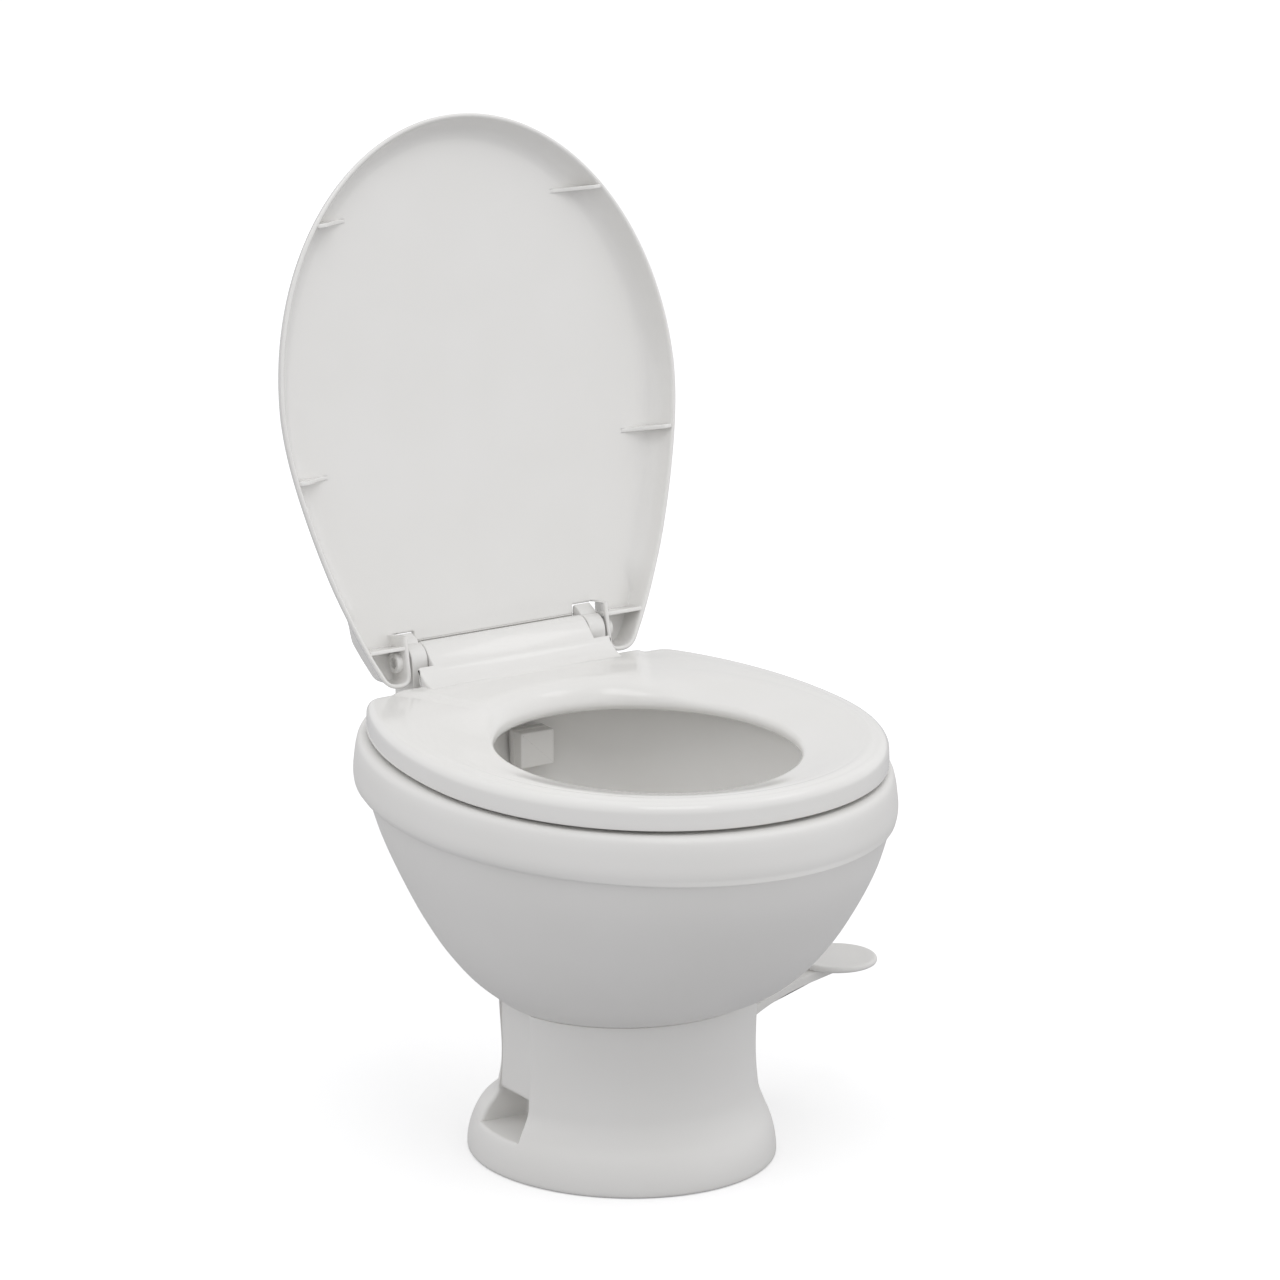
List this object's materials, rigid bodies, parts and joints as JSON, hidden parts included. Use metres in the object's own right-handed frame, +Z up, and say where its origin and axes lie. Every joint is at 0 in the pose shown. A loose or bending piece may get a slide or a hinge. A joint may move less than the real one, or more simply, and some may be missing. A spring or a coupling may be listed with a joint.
{
  "type": "rv toilet",
  "caption": "Low-profile foot-pedal toilet with an oval bowl on a flared pedestal, a ring seat, a dished lid held open and a turning ball valve under the throat.",
  "frame": {"origin": "floor level on the axis of the waste outlet", "axes": "+Z up, -Y towards the front of the seat, +X to the side of the pedal"},
  "size_m": [0.419, 0.515, 0.7628],
  "materials": {
    "pedestal_plastic": "satin moulded polypropylene",
    "bowl_plastic": "satin moulded polypropylene",
    "basin_gloss": "glossy polished polypropylene",
    "seat_gloss": "glossy moulded polypropylene",
    "lid_gloss": "glossy moulded polypropylene",
    "valve_plastic": "black glass-filled nylon",
    "ball_gloss": "polished acetal",
    "gear_nylon": "natural nylon",
    "seal_rubber": "moulded nitrile rubber",
    "pin_steel": "ground stainless steel",
    "screw_steel": "zinc plated steel",
    "hose_plastic": "flexible vinyl hose",
    "bumper_rubber": "white soft rubber"
  },
  "bodies": {
    "base": {"pedestal": "pedestal_plastic", "bowl": "bowl_plastic", "basin": "basin_gloss", "bowl_gasket": "seal_rubber", "bowl_screws": "screw_steel", "valve_body": "valve_plastic", "ball_seal": "seal_rubber", "floor_seal": "seal_rubber", "shaft_seals": "seal_rubber", "spring_cartridge": "valve_plastic", "water_valve_body": "valve_plastic", "stem_seal": "seal_rubber", "inlet_fitting": "hose_plastic", "rinse_hose": "hose_plastic", "vacuum_breaker_body": "valve_plastic", "vacuum_breaker_cap": "valve_plastic", "rinse_nozzle": "basin_gloss", "nozzle_nut": "gear_nylon", "hinge_post_left": "bowl_plastic", "hinge_post_right": "bowl_plastic", "hinge_studs": "screw_steel", "hinge_washers": "screw_steel", "hinge_nuts": "screw_steel"},
    "seat": {"seat": "seat_gloss", "seat_bumpers": "bumper_rubber", "hinge_pins": "pin_steel"},
    "lid": {"lid": "lid_gloss", "lid_flap": "lid_gloss"},
    "pedal": {"pedal": "bowl_plastic", "pedal_pin": "pin_steel", "pin_clips": "pin_steel", "sector_gear": "gear_nylon", "stem_lever": "gear_nylon"},
    "flush_ball": {"flush_ball": "ball_gloss", "ball_shafts": "pin_steel", "ball_pinion": "gear_nylon"},
    "valve_stem": {"valve_stem": "gear_nylon"},
    "breaker_float": {"breaker_float": "bumper_rubber"}
  },
  "joints": [
    {"name": "seat_hinge", "type": "hinge", "parent": "base", "child": "seat", "pos_m": [0, 0.175, 0.357], "axis": [1, 0, 0], "range_deg": [-100, 0]},
    {"name": "lid_hinge", "type": "hinge", "parent": "seat", "child": "lid", "pos_m": [0, 0.175, 0.357], "axis": [1, 0, 0], "range_deg": [0, 101.9]},
    {"name": "pedal_press", "type": "hinge", "parent": "base", "child": "pedal", "pos_m": [0.062, 0, 0.072], "axis": [0, 1, 0], "range_deg": [-4, 36], "stiffness_Nm_per_rad": 8, "springref_deg": -0.57},
    {"name": "ball_turn", "type": "hinge", "parent": "base", "child": "flush_ball", "pos_m": [0, 0, 0.072], "axis": [0, 1, 0], "range_deg": [-88.5, 10.5]},
    {"name": "valve_stem_slide", "type": "slide", "parent": "base", "child": "valve_stem", "axis": [0, 0, 1], "range_m": [-0.001, 0.0078]},
    {"name": "float_lift", "type": "slide", "parent": "base", "child": "breaker_float", "axis": [0, 0, 1], "range_m": [0, 0.008]}
  ],
  "couplings": [
    {"joint": "ball_turn", "follows": "pedal_press", "ratio": -2.4444},
    {"joint": "valve_stem_slide", "follows": "pedal_press", "m_per_rad": 0.012}
  ]
}
